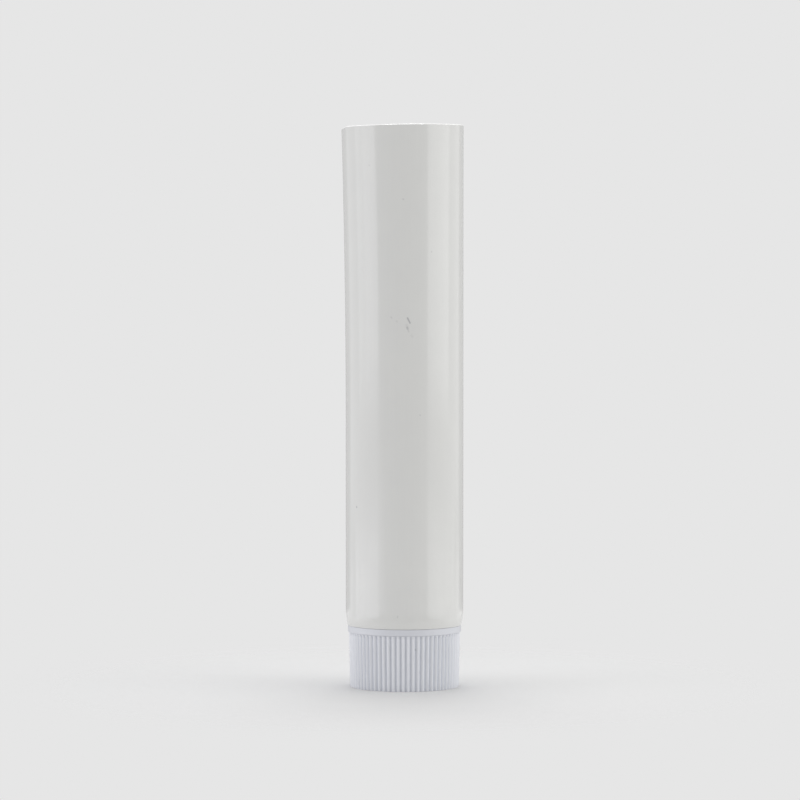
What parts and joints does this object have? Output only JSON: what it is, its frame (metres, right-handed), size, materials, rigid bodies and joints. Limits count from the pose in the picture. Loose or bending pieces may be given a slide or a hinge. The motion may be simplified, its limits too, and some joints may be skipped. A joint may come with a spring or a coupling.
{
  "type": "lotion tube",
  "caption": "Empty white squeeze tube for lotion, standing on its finely ribbed screw cap, with the open end for filling at the top.",
  "frame": {"origin": "middle of the cap's flat end face, on which the tube stands", "axes": "+Z along the tube from the cap to the open end, -Y towards the viewer of the picture"},
  "size_m": [0.0362, 0.035, 0.1668],
  "materials": {
    "sleeve_plastic": "white polyethylene, soft gloss",
    "head_plastic": "white polyethylene, moulded satin",
    "seal_foil": "thin lacquered foil, embossed",
    "cap_plastic": "cool white polypropylene, moulded satin"
  },
  "bodies": {
    "cap": {"screw_cap": "cap_plastic"},
    "seal": {"foil_seal": "seal_foil"},
    "tube": {"tube_sleeve": "sleeve_plastic", "tube_head": "head_plastic"}
  },
  "joints": [
    {"name": "tube_lift", "type": "slide", "parent": "cap", "child": "seal", "axis": [0, 0, 1], "range_m": [0, 0.006]},
    {"name": "tube_turn", "type": "hinge", "parent": "seal", "child": "tube", "pos_m": [0, 0, 0], "axis": [0, 0, 1], "range_deg": [0, 720]}
  ],
  "couplings": [
    {"joint": "tube_lift", "follows": "tube_turn", "m_per_rad": 0.00047746}
  ]
}
